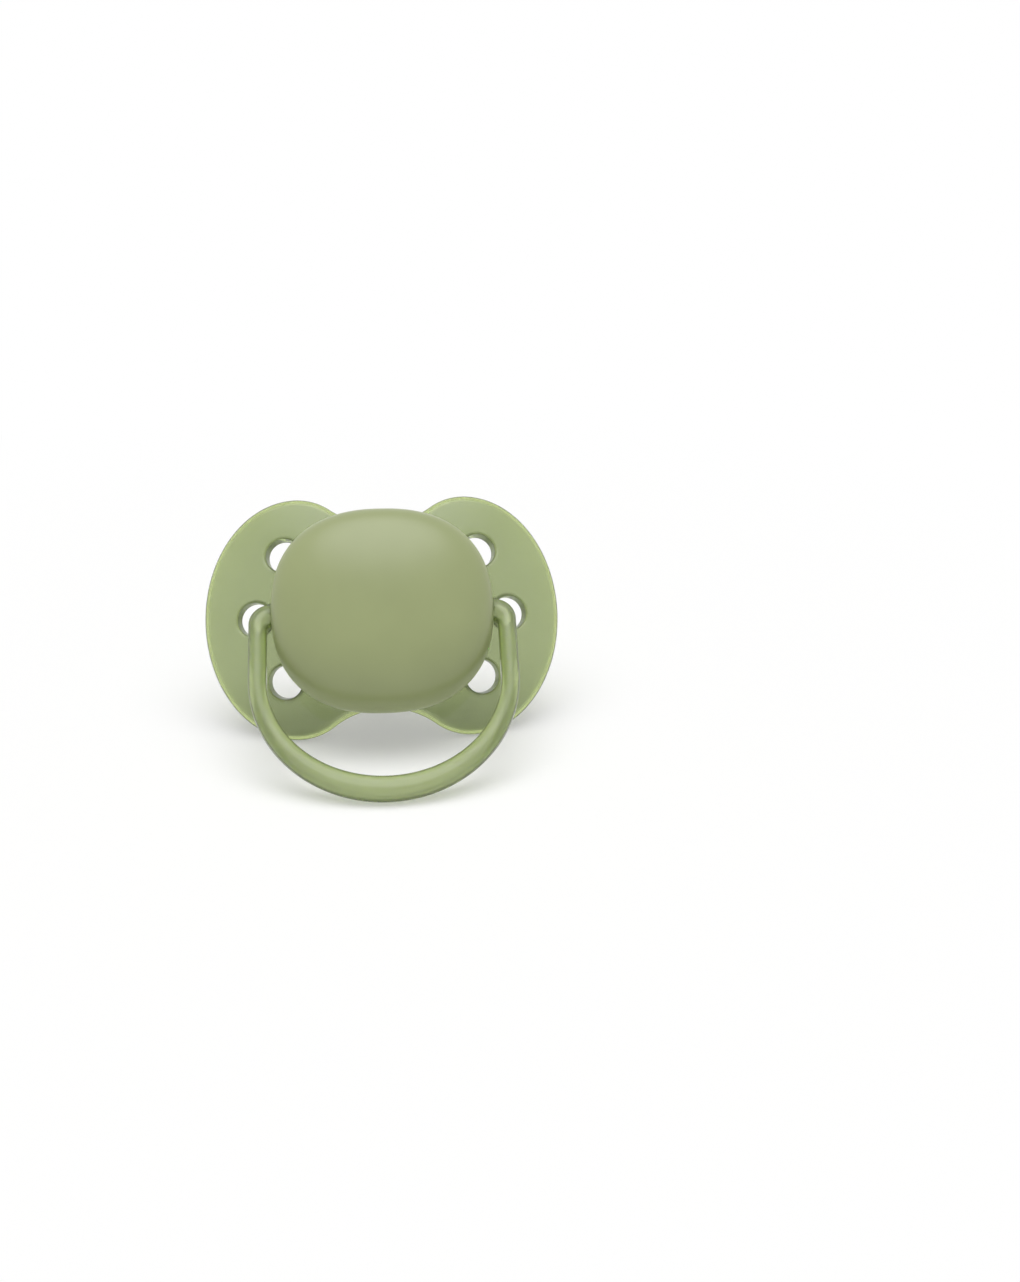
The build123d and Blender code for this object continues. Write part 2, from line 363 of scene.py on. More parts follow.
# Fine matt grain of a spark-eroded mould, as a height
grain_group, grain_in, grain_out = node_group(
    "mould grain",
    [("Vector", "NodeSocketVector", None)],
    [("Height", "NodeSocketFloat")],
)
pits = add_noise(grain_group, grain_in.outputs["Vector"], 9000.0, 3.0, 0.6)
link(grain_group, pits, grain_out.inputs["Height"])


def new_material(name):
    """A material with a Principled shader and its object coordinates."""
    material = bpy.data.materials.new(name)
    material.use_nodes = True
    tree = material.node_tree
    shader = tree.nodes["Principled BSDF"]
    coordinates = tree.nodes.new("ShaderNodeTexCoord")
    return material, tree, shader, coordinates.outputs["Object"]


def use_group(tree, group, vector):
    """A shared group in a material, fed with its coordinates."""
    node = tree.nodes.new("ShaderNodeGroup")
    node.node_tree = group
    link(tree, vector, node.inputs["Vector"])
    return node.outputs


def srgb(red, green, blue):
    """A colour named by its screen values, as a shader colour."""
    return tuple(
        c / 12.92 if c <= 0.04045 else ((c + 0.055) / 1.055) ** 2.4
        for c in (red / 255, green / 255, blue / 255)
    )


# %% Masks on the soother, and the plastics and the silicone
grain_depth = 0.02 * mm
arch_top = 14.3  # the frost's height on the teat's long sides, in millimetres
arch_foot = 9.7  # and between them
frost_blur = 0.2
wall_shade_blur = (0.25, 0.6)  # the painted shade on a vent's wall fades out between these distances from it
glow_facing = (0.1, 0.35)  # how far a surface turns away where a clear plastic takes its painted rim glow
edge_shade_facing = (0.42, 0.76)  # and where it takes its painted edge shade
wall_roughness = 0.3
clear_roughness, frosted_roughness = 0.05, 0.55  # of the teat's neck and of its bulb
opaque_drift, clear_drift = 0.005, 0.01  # how far a plastic's roughness drifts either way


def along_soother(tree, where):
    """A place along the soother's own axes: |x|, |y| and |z| as three sockets, in metres."""
    along = tree.nodes.new("ShaderNodeMapping")
    along.vector_type = "TEXTURE"
    along.inputs["Location"].default_value = soother_axes.translation
    along.inputs["Rotation"].default_value = soother_axes.to_euler()
    link(tree, where, along.inputs["Vector"])
    parts = tree.nodes.new("ShaderNodeSeparateXYZ")
    link(tree, along.outputs["Vector"], parts.inputs[0])
    return [add_math(tree, "ABSOLUTE", parts.outputs[k]) for k in range(3)]


def frosted_part(tree, where):
    """1 on the frosted bulb and 0 on the clear neck, with a pointed arch on the two long sides."""
    x, y, z = along_soother(tree, where)
    turn = add_math(tree, "DIVIDE", add_math(tree, "ARCTAN2", y, x), math.pi / 2)
    arch = add_ramp(tree, turn, 0.0, 1.0, arch_top * mm, arch_foot * mm)
    return add_ramp(tree, add_math(tree, "SUBTRACT", z, arch), -frost_blur * mm, frost_blur * mm)


def vent_wall_shade(tree, where):
    """Mask of the painted shade on the vents' walls: 1 on the walls, fading out round them."""
    x, y, _ = along_soother(tree, where)
    gaps = []
    for vent_x, vent_y in ((side_vent_x, 0.0), corner_vent):
        across = add_math(tree, "SUBTRACT", x, vent_x * mm)
        along = add_math(tree, "SUBTRACT", y, vent_y * mm)
        squares = [add_math(tree, "MULTIPLY", value, value) for value in (across, along)]
        gaps.append(add_math(tree, "SQRT", add_math(tree, "ADD", *squares)))
    nearest = add_math(tree, "MINIMUM", *gaps)
    near, far = ((vent_radius + blur) * mm for blur in wall_shade_blur)
    return add_ramp(tree, nearest, near, far, 1.0, 0.0)


def opaque_plastic(name, light, dark, roughness, grain):
    """Matt moulded plastic with a slow colour drift and a fine mould grain."""
    material, tree, shader, where = new_material(name)
    drift = use_group(tree, drift_group, where)
    height = use_group(tree, grain_group, where)["Height"]
    matt = add_ramp(tree, drift["Haze"], 0.0, 1.0, roughness - opaque_drift, roughness + opaque_drift)
    link(tree, add_mix(tree, drift["Mask"], dark, light), shader.inputs["Base Color"])
    link(tree, matt, shader.inputs["Roughness"])
    link(tree, add_bump(tree, height, grain, grain_depth), shader.inputs["Normal"])
    shader.inputs["IOR"].default_value = 1.5
    return material


def clear_plastic(name, light, dark, painted_glow, edge, roughness, haze, painted_wall_shade=None):
    """Clear tinted plastic, with a painted glow on its rounded rims, painted shade along its outline and, if
    given, painted shade on the walls of its holes.
    """
    material, tree, shader, where = new_material(name)
    drift = use_group(tree, drift_group, where)
    facing = tree.nodes.new("ShaderNodeLayerWeight")
    facing.inputs["Blend"].default_value = 0.5
    # painted light in the base colour: a glow where the rounded rims turn away, then shade along the outline
    at_painted_glow = add_ramp(tree, facing.outputs["Facing"], *glow_facing)
    at_painted_edge_shade = add_ramp(tree, facing.outputs["Facing"], *edge_shade_facing)
    body = add_mix(tree, at_painted_glow, add_mix(tree, drift["Mask"], dark, light), painted_glow)
    colour = add_mix(tree, at_painted_edge_shade, body, edge)
    matt = add_ramp(tree, drift["Haze"], 0.0, 1.0, roughness - clear_drift, roughness + clear_drift)
    if painted_wall_shade:
        # painted shade on the vents' walls, which are also rougher
        on_shaded_wall = vent_wall_shade(tree, where)
        colour = add_mix(tree, on_shaded_wall, colour, painted_wall_shade)
        matt = add_math(tree, "MAXIMUM", matt, add_math(tree, "MULTIPLY", on_shaded_wall, wall_roughness))
    link(tree, colour, shader.inputs["Base Color"])
    link(tree, matt, shader.inputs["Roughness"])
    shader.inputs["IOR"].default_value = 1.42
    shader.inputs["Transmission Weight"].default_value = 1.0 - haze
    shader.inputs["Subsurface Weight"].default_value = 1.0
    shader.inputs["Subsurface Radius"].default_value = (1.0, 1.0, 0.6)
    shader.inputs["Subsurface Scale"].default_value = 0.002
    return material


def frosted_silicone(name):
    """Clear silicone with a frosted bulb and a faint mould grain."""
    material, tree, shader, where = new_material(name)
    drift = use_group(tree, drift_group, where)
    height = use_group(tree, grain_group, where)["Height"]
    tint = add_mix(tree, drift["Mask"], srgb(250, 250, 248), srgb(254, 254, 253))
    link(tree, tint, shader.inputs["Base Color"])
    matt = add_ramp(tree, frosted_part(tree, where), 0.0, 1.0, clear_roughness, frosted_roughness)
    link(tree, matt, shader.inputs["Roughness"])
    link(tree, add_bump(tree, height, 0.2, grain_depth), shader.inputs["Normal"])
    shader.inputs["IOR"].default_value = 1.41
    shader.inputs["Transmission Weight"].default_value = 0.9
    shader.inputs["Subsurface Weight"].default_value = 1.0
    shader.inputs["Subsurface Radius"].default_value = (1.0, 1.0, 1.0)
    shader.inputs["Subsurface Scale"].default_value = 0.003
    return material


knob_plastic = opaque_plastic("knob plastic", srgb(153, 162, 114), srgb(148, 157, 110), 0.28, 0.05)
core_plastic = opaque_plastic("core plastic", srgb(158, 167, 126), srgb(152, 160, 121), 0.4, 0.05)
plug_plastic = opaque_plastic("plug plastic", srgb(226, 228, 220), srgb(218, 221, 212), 0.35, 0.2)
# the shield's colours: body, painted rim glow, painted edge shade and painted shade on the vents' walls
shield_plastic = clear_plastic(
    "shield plastic",
    srgb(167, 179, 132), srgb(163, 175, 128), srgb(210, 226, 150), srgb(112, 124, 66),
    roughness=0.03, haze=0.14, painted_wall_shade=srgb(74, 86, 44),
)
# the handle's colours: body, painted rim glow and painted edge shade
ring_plastic = clear_plastic(
    "handle plastic",
    srgb(178, 190, 141), srgb(174, 186, 137), srgb(188, 202, 146), srgb(100, 112, 62),
    roughness=0.06, haze=0.35,
)
silicone = frosted_silicone("teat silicone")

# %% [markdown]
# ## Shield
# The shield is a dished plate, moulded in a soft clear plastic round the hard core plate. It is drawn here
# as a middle surface with a thickness that runs out in a full round at the rim and in small rounds at the
# vents. That gives the bright edge that such a rim has, which a flat-cut edge would not; a painted glow in
# the plastic's base colour adds to it.

# %% Sizes of the shield, in millimetres
rim_lean = 0.115  # the rim leans out this far past the middle surface
wing_half = half_width("shield") - rim_lean
shield_height = 39.2
lobe_x = 13.9
lobe_radius = 9.6
waist_half = 15.0
hub_flat_radius = 13.0
bend_run = 3.0  # past the hub's flat, the middle surface takes its slope over this distance
tip_rise = 3.4
back_depth = 5.6
back_radius = 70.4
vent_round = 0.6
rim_round = 1.45
skin = 0.9
core_half = (14.5, 13.4)  # the pocket for the core plate
knob_power = 2.35
pad_opening = 11.6
pad_corner = 3.5
lip_round = 0.3

lobe_y = shield_height / 2 - lobe_radius
waist_step = waist_half - lobe_y
waist_radius = (lobe_x**2 + waist_step**2 - lobe_radius**2) / (2 * (lobe_radius - waist_step))
face_radius = ((wing_half - hub_flat_radius) ** 2 + tip_rise**2) / (2 * tip_rise)


def face_height(radius):
    """Height of the shield's face above the hub."""
    out = max(0.0, radius - hub_flat_radius)
    return face_radius - math.sqrt(face_radius**2 - out**2)


def back_height(radius):
    """Height of the shield's dished back."""
    return back_radius - math.sqrt(back_radius**2 - radius**2) - back_depth


def middle_and_half(x, y):
    """Height and direction of the shield's middle surface, and half the thickness along that direction."""
    radius = math.hypot(x, y)
    step = 0.25
    rise = face_height(radius + step) + back_height(radius + step)
    rise -= face_height(radius - step) + back_height(radius - step)
    slope = rise / (4 * step) * eased(min(max((radius - hub_flat_radius) / bend_run, 0.0), 1.0))
    length = math.hypot(1, slope)
    away = (x / radius, y / radius) if radius else (0.0, 0.0)
    middle = (face_height(radius) + back_height(radius)) / 2
    half = (face_height(radius) - back_height(radius)) / 2 / length
    return middle, (-slope * away[0] / length, -slope * away[1] / length, 1 / length), half


def shell_point(x, y, height):
    """A point of the shield, this far from its middle surface."""
    middle, normal, _ = middle_and_half(x, y)
    return (x + normal[0] * height, y + normal[1] * height, middle + normal[2] * height)


def shell_side(side):
    """Lifts flat points to the shield's face (side 1) or back (side -1)."""
    return lambda x, y: shell_point(x, y, side * middle_and_half(x, y)[2])


def shield_outline(count):
    """Points of the outline with their outward directions: elliptical wings, round lobes, concave waists."""
    quarter, away = [], []
    wing_steps, lobe_steps, waist_steps = 200, 80, 120
    wing_x, wing_y = wing_half - lobe_x, shield_height / 2
    for i in range(wing_steps):
        turn = math.pi / 2 * i / wing_steps
        quarter.append((lobe_x + wing_x * math.cos(turn), wing_y * math.sin(turn)))
        away.append((wing_y * math.cos(turn), wing_x * math.sin(turn)))
    lobe_turn = math.atan2(waist_step + waist_radius, -lobe_x) - math.pi / 2
    for i in range(lobe_steps):
        turn = math.pi / 2 + lobe_turn * i / lobe_steps
        quarter.append((lobe_x + lobe_radius * math.cos(turn), lobe_y + lobe_radius * math.sin(turn)))
        away.append((math.cos(turn), math.sin(turn)))
    for i in range(waist_steps + 1):
        turn = math.pi / 2 + lobe_turn - lobe_turn * i / waist_steps
        out = (math.cos(turn), math.sin(turn))
        quarter.append((-waist_radius * out[0], waist_half + waist_radius - waist_radius * out[1]))
        away.append(out)
    quarter, away = np.array(quarter), np.array(away)
    away /= np.linalg.norm(away, axis=1)[:, None]
    run = np.concatenate([[0], np.cumsum(np.linalg.norm(np.diff(quarter, axis=0), axis=1))])
    at = np.linspace(0, run[-1], count // 4 + 1)
    points = np.stack([np.interp(at, run, quarter[:, k]) for k in (0, 1)], 1)
    normals = np.stack([np.interp(at, run, away[:, k]) for k in (0, 1)], 1)
    whole, out = [], []
    for flip_x, flip_y, order in ((1, 1, 1), (-1, 1, -1), (-1, -1, 1), (1, -1, -1)):
        rows = list(range(len(at)))[::order]
        for i in rows[:-1]:
            whole.append((points[i][0] * flip_x, points[i][1] * flip_y))
            out.append((normals[i][0] * flip_x, normals[i][1] * flip_y))
    return whole, out


rim_points = 520
rim, rim_out = shield_outline(rim_points)


def rim_inset(inward):
    """The outline drawn in by a distance."""
    return [(x - out[0] * inward, y - out[1] * inward) for (x, y), out in zip(rim, rim_out)]


# %% Shield mesh
vent_points, pocket_points, pad_points = 72, 180, 120
shield_grid, pocket_grid = 0.9, 1.2
shield_clear, pocket_clear = 0.4, 0.5  # the grids' points stay this far from every edge
vents = [(side_vent_x, 0.0), (-side_vent_x, 0.0)]
vents += [(i * corner_vent[0], j * corner_vent[1]) for i in (1, -1) for j in (1, -1)]
round_steps = 9
quarter_turn = [math.pi / 2 * i / round_steps for i in range(round_steps + 1)]
shield = Surface()


def rounded_wall(corner, flat_row_at):
    """The shield's edge from its face to its back, round at both, and the flat row where the rounds begin."""
    rows = []
    for side, turns in ((1, quarter_turn[::-1]), (-1, quarter_turn)):
        for turn in turns:
            flat_row = flat_row_at(corner * (1 - math.cos(turn)))
            sunk = corner * (1 - math.sin(turn))
            rows.append([shell_point(*p, side * (middle_and_half(*p)[2] - sunk)) for p in flat_row])
    shield.loft(rows)
    return flat_row


def vent_edge(x, y):
    """Gives the outline of a vent, drawn out by a distance."""
    return lambda outward: circle(x, y, vent_radius + outward, vent_points)


rim_inner = rounded_wall(rim_round, rim_inset)
flat_loops = [rim_inner] + [rounded_wall(vent_round, vent_edge(x, y)) for x, y in vents]

# the opening for the teat's pad, with a rounded lip, and the pocket for the core plate
pocket = superellipse(*core_half, knob_power, pocket_points)
pad_rim = rounded_square(pad_opening, pad_corner, pad_points)
lip_rows = []
for turn in quarter_turn[::-1]:
    grow = lip_round * (1 - math.cos(turn))
    row = rounded_square(pad_opening + 2 * grow, pad_corner + grow, pad_points)
    lip_rows.append(at_height(row, -lip_round * (1 - math.sin(turn))))
pad_lip = [p[:2] for p in lip_rows[0]]
shield.loft(lip_rows + [at_height(pad_rim, -skin)])
shield.strip(at_height(pocket, -skin), [shell_side(-1)(*p) for p in pocket])


def on_shell(x, y, hole, gap):
    """True inside the rim and outside every vent and the hole, clear of all of them by the gap."""
    if not inside(rim_inner, x, y) or inside(hole, x, y):
        return False
    if any(math.hypot(x - vent[0], y - vent[1]) < vent_radius + vent_round + gap for vent in vents):
        return False
    return gap == 0 or (distance_to(rim_inner, x, y) > gap and distance_to(hole, x, y) > gap)


for side, hole in ((1, pad_lip), (-1, pocket)):
    spread = grid_points(wing_half, shield_height / 2, shield_grid)
    free = [p for p in spread if on_shell(*p, hole, shield_clear)]
    shield.patch(flat_loops + [hole], free, lambda x, y, hole=hole: on_shell(x, y, hole, 0), shell_side(side))


def on_floor(x, y):
    """True on the pocket's floor, round the opening for the pad."""
    return inside(pocket, x, y) and not inside(pad_rim, x, y)


floor_points = [
    p
    for p in grid_points(*core_half, pocket_grid)
    if on_floor(*p) and min(distance_to(pocket, *p), distance_to(pad_rim, *p)) > pocket_clear
]
shield.patch([pocket, pad_rim], floor_points, on_floor, lambda x, y: (x, y, -skin))
shield.piece("shield_moulding", soother_axes, "soother", shield_plastic, "shield")

# %% [markdown]
# ## Knob cover
# The knob is a deep cover with a rounded-rectangle outline: an ellipse in profile behind its widest section
# and a flatter dome in front. A keyhole at each end lets the handle's journal in from behind, and a tab of
# the core plate closes its slot. Its edges are softly rounded, as a mould leaves them.

# %% Sizes of the knob, in millimetres
knob_half_x = half_width("knob_cover")
knob_half_y = 16.2
knob_back = -4.5
knob_widest = -11.2
knob_back_reach = 12.0
knob_front_reach = 6.63
dome_power = 2.1
knob_wall = 1.6
pivot_hole_radius = 3.0
slot_half = 3.4
edge_round = 0.35
slot_steps, slot_corner_steps, hole_steps = 14, 2, 36


def section_size(z):
    """Size of the knob's section at a height, as a share of its widest section."""
    if z >= knob_widest:
        return math.sqrt(1 - ((z - knob_widest) / knob_back_reach) ** 2)
    return (1 - ((knob_widest - z) / knob_front_reach) ** dome_power) ** (1 / dome_power)


def keyhole_gap(y, z):
    """Distance of a point on the knob's end from the keyhole, negative in it."""
    to_hole = math.hypot(y, z + pivot_depth) - pivot_hole_radius
    beside, below = abs(y) - slot_half, -pivot_depth - z
    to_slot = math.hypot(beside, below) if min(beside, below) > 0 else max(beside, below)
    return min(to_hole, to_slot)


def edge_drop(gap):
    """How far a rounded edge has dropped at this distance from it."""
    return edge_round - math.sqrt(edge_round**2 - max(edge_round - max(gap, 0.0), 0.0) ** 2)


def keyhole_outline():
    """The keyhole's edge: down one side of the slot, round the hole and up the other side."""
    corner, hole_end = (slot_half, -pivot_depth), (pivot_hole_radius, -pivot_depth)
    side_row = straight((slot_half, knob_back), corner, slot_steps)
    side_row += straight(corner, hole_end, slot_corner_steps)
    turns = [math.pi * i / hole_steps for i in range(hole_steps + 1)]
    hole = [(pivot_hole_radius * math.cos(t), -pivot_depth - pivot_hole_radius * math.sin(t)) for t in turns]
    return side_row + hole + [(-y, z) for y, z in reversed(side_row)]


# %% Knob mesh
around = 240
window = 15  # the keyhole's patch takes this many columns each side of the end's middle
back_rows, patch_rows, dome_rows = 24, 38, 60
side_starts = (window, around // 2 + window)
keyhole_rings = (0.04, 0.09, 0.15, 0.22, 0.3, 0.42, 0.6, 0.85)  # millimetres from the keyhole's edge
ring_error = 0.01  # a ring's point is left out if it lies off its ring by more than this
back_clear = 0.1  # and if it is this close to the knob's back edge
keyhole_clear, border_clear = 1.0, 0.3  # the grid's points stay this far from the keyhole and the border
end_grid, end_reach = 0.45, 8
lip_steps = 10
heights = [knob_back + (knob_widest - knob_back) * i / back_rows for i in range(back_rows)]
for i in range(dome_rows):
    heights.append(knob_widest - knob_front_reach * math.sin(math.pi / 2 * i / dome_rows) ** (2 / dome_power))
keyhole = keyhole_outline()


def dome_share(inset):
    """Depth of the dome this far inside the outer surface, as a share of the outer depth."""
    return 1 - inset / knob_front_reach


def knob_sections(inset):
    """The knob's sections from its back edge to its apex, this far inside its outer surface."""
    sections = []
    for z in heights:
        half_x, half_y = knob_half_x * section_size(z) - inset, knob_half_y * section_size(z) - inset
        if half_y > 0:
            drawn = z if z > knob_widest else knob_widest + (z - knob_widest) * dome_share(inset)
            sections.append(at_height(superellipse(half_x, half_y, knob_power, around), drawn))
    return sections


def end_point(end, y, z, inset):
    """A point of the knob's end, with the keyhole's rounded edge on the outer surface."""
    section = z if z > knob_widest else knob_widest + (z - knob_widest) / dome_share(inset)
    size = section_size(section)
    reach = 1 - (abs(y) / (knob_half_y * size - inset)) ** knob_power
    drop = 0 if inset else edge_drop(keyhole_gap(y, z))
    return (end * ((knob_half_x * size - inset) * reach ** (1 / knob_power) - drop), y, z)


def beside_keyhole():
    """Points that follow the keyhole's edge at growing distances, to carry its round."""
    found = []
    for gap in keyhole_rings:
        for before, here, after in zip(keyhole, keyhole[1:], keyhole[2:]):
            run = (after[0] - before[0], after[1] - before[1])
            length = math.hypot(*run)
            place = (here[0] - run[1] / length * gap, here[1] + run[0] / length * gap)
            if abs(keyhole_gap(*place) - gap) < ring_error and place[1] < knob_back - back_clear:
                found.append(place)
    return found


def add_end(surface, sections, end, inset):
    """One end of the knob, from the window's edges to the keyhole. Returns its two back edges."""
    middle = 0 if end > 0 else around // 2
    columns = [(middle + k) % around for k in range(window, -window - 1, -1)]
    if sections[0][columns[0]][1] < 0:
        columns.reverse()
    right = [row[columns[0]][1:] for row in sections[:patch_rows]]
    bottom = [sections[patch_rows][k][1:] for k in columns]
    left = [row[columns[-1]][1:] for row in reversed(sections[:patch_rows])]
    left_lip = straight(left[-1], keyhole[-1], lip_steps)[1:]
    right_lip = straight(keyhole[0], right[0], lip_steps)[1:]
    border = right + bottom + left + left_lip + keyhole[::-1] + right_lip
    free = [] if inset else beside_keyhole()
    for y, z in grid_points(end_reach, end_reach, end_grid):
        place = (y, z - pivot_depth)
        if keyhole_gap(*place) > keyhole_clear and inside(border, *place):
            if distance_to(border, *place) > border_clear:
                free.append(place)
    surface.patch(
        [border], free, lambda y, z: inside(border, y, z), lambda y, z: end_point(end, y, z, inset)
    )
    lips = ([left[-1]] + left_lip + [keyhole[-1]], [keyhole[0]] + right_lip + [right[0]])
    return [[end_point(end, y, z, inset) for y, z in lip] for lip in lips]


def side_of(row, start):
    """The points of a section between the windows of the two ends."""
    return [row[(start + k) % around] for k in range(around // 2 - 2 * window + 1)]


knob = Surface()
back_edges = []
for inset in (0, knob_wall):
    sections = knob_sections(inset)
    for level, (first, second) in enumerate(zip(sections, sections[1:])):
        if level >= patch_rows:
            knob.strip(first, second)
            continue
        for start in side_starts:
            knob.strip(side_of(first, start), side_of(second, start), closed=False)
    knob.fan(sections[-1], (0.0, 0.0, knob_widest - knob_front_reach * dome_share(inset)))
    edges = [side_of(sections[0], start) for start in side_starts]
    for end in (1, -1):
        edges += add_end(knob, sections, end, inset)
    back_edges.append(edges)
for outer_edge, inner_edge in zip(*back_edges):
    knob.strip(outer_edge, inner_edge, closed=False)
for end in (1, -1):
    outer_key, inner_key = ([end_point(end, y, z, inset) for y, z in keyhole] for inset in (0, knob_wall))
    knob.strip(outer_key, inner_key, closed=False)
knob.piece("knob_moulding", soother_axes, "soother", knob_plastic, "knob_cover")

# %% [markdown]
# ## Ring handle
# The handle is one clear moulding: a band bent into a U whose ends turn inwards and end in round journals,
# with a collar on each that stays inside the knob. It is drawn as a rounded section carried along the U,
# thicker at the end that the fingers hold.

# %% Sizes of the handle, in millimetres
ring_half_width = half_width("ring_handle")
ring_arm = 2.9
ring_grip = 3.9
ring_band = 3.9
ring_end_rise = 20.9
ring_reach = ring_reach_middle + ring_grip / 2
ring_arm_end = ring_reach - ring_end_rise
shoulder_round = 3.3
inner_shoulder = 1.7
section_round = 1.7
journal_radius = 2.4
journal_end = 17.1
journal_bands = (0.6, 0.3)  # the journal's last two sections lie this far before its end
collar_radius = 3.4
collar_face = 12.9
collar_thickness = 1.1
section_points = 48
bend_steps, arm_steps, grip_steps, neck_steps = 16, 16, 64, 6


def handle_section(outer, inner, half_band, corner):
    """A rounded section between an outer and an inner point of the handle's plane."""
    middle = Vector((*outer, 0)) / 2 + Vector((*inner, 0)) / 2
    across = Vector((*outer, 0)) - middle
    half = across.length
    across.normalize()
    corner = min(corner, half, half_band)
    row = []
    for i in range(section_points):
        turn = 2 * math.pi * (i + 0.5) / section_points
        c, s = math.cos(turn), math.sin(turn)
        out = math.copysign(half - corner, c) + corner * c
        up = math.copysign(half_band - corner, s) + corner * s
        row.append(tuple(middle + across * out + Vector((0, 0, up))))
    return row


def round_section(x, radius):
    """A round section of the journal, square to the pivot."""
    return handle_section((x, -radius), (x, radius), radius, radius)


def between(first, second, share):
    """A row of points between two rows."""
    return [tuple(a + (b - a) * eased(share) for a, b in zip(p, q)) for p, q in zip(first, second)]


def arc_points(centre, radius_x, radius_y, start, end, count):
    """Points along part of an ellipse, with the angles in degrees."""
    turns = [math.radians(start + (end - start) * i / count) for i in range(count + 1)]
    return [(centre[0] + radius_x * math.cos(t), centre[1] + radius_y * math.sin(t)) for t in turns]


# %% Handle mesh
inner_half = ring_half_width - ring_arm
outer_corner = (ring_half_width - shoulder_round, shoulder_round - ring_arm / 2)
inner_corner = (inner_half - inner_shoulder, inner_shoulder + ring_arm / 2)
outer_path = arc_points(outer_corner, shoulder_round, shoulder_round, -90, 0, bend_steps)
outer_path += straight((ring_half_width, outer_corner[1]), (ring_half_width, ring_arm_end), arm_steps)[1:]
outer_path += arc_points((0, ring_arm_end), ring_half_width, ring_end_rise, 0, 90, grip_steps)
inner_path = arc_points(inner_corner, inner_shoulder, inner_shoulder, -90, 0, bend_steps)
inner_path += straight((inner_half, inner_corner[1]), (inner_half, ring_arm_end), arm_steps)[1:]
inner_path += arc_points((0, ring_arm_end), inner_half, ring_end_rise - ring_grip, 0, 90, grip_steps)
arm = [handle_section(*pair, ring_band / 2, section_round) for pair in zip(outer_path, inner_path)]
arm = arm[2:]  # the first two sections lie where the journal's neck takes over
journal = [
    round_section(collar_face - collar_thickness, collar_radius),
    round_section(collar_face, collar_radius),
    round_section(collar_face, journal_radius),
]
journal += [round_section(journal_end - back, journal_radius) for back in journal_bands]
neck = [between(journal[-1], arm[0], i / neck_steps) for i in range(1, neck_steps)]
half_handle = journal + neck + arm
other_half = [[(-x, y, z) for x, y, z in row] for row in reversed(half_handle[:-1])]
handle = Surface()
handle.loft(half_handle + other_half)
for row in (half_handle[0], other_half[-1]):
    handle.fan(row, (row[0][0], 0, 0))
handle.piece("handle_moulding", ring_axes, "handle", ring_plastic, "ring_handle")

# %% [markdown]
# ## Teat
# The teat is one hollow silicone moulding. Its neck is clear, so the tip of the plug shows in it, and its
# bulb is frosted, from a blasted mould. The frost ends in a pointed arch on the two long sides.

# %% Sizes of the teat, in millimetres
bulb_radius = 6.95
bulb_z = 21.9
neck_radius = 4.93
neck_foot_radius = 4.6
neck_top = 8.5
teat_wall = 1.1
swell_power = 1.15
cap_power = 2.2
foot_round = 0.8
pad_side = 11.4
pad_face = -0.2
pad_round = 0.25
bore_radius = 3.8
bore_widens = 2.0  # from this height the bore follows the teat's outside
stem_radius = 5.2
flange_radius = 7.2
flange_face = -3.1
side_steps, cap_steps = 48, 36


def teat_radius(z, inset):
    """Outer radius of the teat at a height, or the bore's radius with the wall as inset."""
    if z < neck_top:
        return neck_foot_radius + (neck_radius - neck_foot_radius) * z / neck_top - inset
    if z < bulb_z:
        share = ((z - neck_top) / (bulb_z - neck_top)) ** swell_power
        return neck_radius + (bulb_radius - neck_radius) * eased(share) - inset
    share = min((z - bulb_z) / (teat_length - bulb_z - inset), 1.0)
    return (bulb_radius - inset) * (1 - share**cap_power) ** (1 / cap_power)


def teat_profile(inset, start):
    """Radius and height from the foot to the tip, with more points towards the tip."""
    rows = [(teat_radius(z, inset), z) for z in np.linspace(start, bulb_z, side_steps)]
    cap = teat_length - bulb_z - inset
    for i in range(1, cap_steps):
        z = bulb_z + cap * math.sin(math.pi / 2 * i / cap_steps) ** (2 / cap_power)
        rows.append((teat_radius(z, inset), z))
    return rows


def turned(radius, z, count=96):
    """One row of a turned piece."""
    return [(x, y, z) for x, y in circle(0, 0, radius, count)]


# %% Teat mesh
teat = Surface()
foot = []
for turn in quarter_turn:
    out = foot_round * (1 - math.sin(turn))
    foot.append((neck_foot_radius + out, pad_face + foot_round * (1 - math.cos(turn))))
outside = foot + teat_profile(0, pad_face + foot_round)[1:]
bore = [(bore_radius, knob_back), (bore_radius, 0)] + teat_profile(teat_wall, bore_widens)
outer_rows, inner_rows = ([turned(*p) for p in profile] for profile in (outside, bore))
teat.loft(outer_rows)
teat.fan(outer_rows[-1], (0, 0, teat_length))
teat.loft(inner_rows)
teat.fan(inner_rows[-1], (0, 0, teat_length - teat_wall))
pad_rows = []
for turn in quarter_turn:
    drawn_in = pad_round * (1 - math.sin(turn))
    row = rounded_square(pad_side - 2 * drawn_in, pad_corner - drawn_in, pad_points)
    pad_rows.append(at_height(row, pad_face - pad_round * (1 - math.cos(turn))))
pad_rows.append(at_height(rounded_square(pad_side, pad_corner, pad_points), -skin))
teat.loft(pad_rows)
flange = [(stem_radius, flange_face), (flange_radius, flange_face), (flange_radius, knob_back)]
stem = [turned(*p) for p in [(stem_radius, -skin), *flange, (bore_radius, knob_back)]]
teat.loft(stem)
for loops, z in (((pad_rows[0], outer_rows[0]), pad_face), ((pad_rows[-1], stem[0]), -skin)):
    square, hole = ([p[:2] for p in row] for row in loops)
    teat.patch(
        [square, hole],
        [],
        lambda x, y, square=square, hole=hole: inside(square, x, y) and not inside(hole, x, y),
        lambda x, y, z=z: (x, y, z),
    )
teat.piece("teat_moulding", soother_axes, "soother", silicone, "teat")

# %% [markdown]
# ## Plug and core plate
# The plug clamps the teat's foot from the knob's side and its tip shows through the clear neck. The core
# plate shows only as a dark shape through the shield, and as the tab that closes each keyhole.

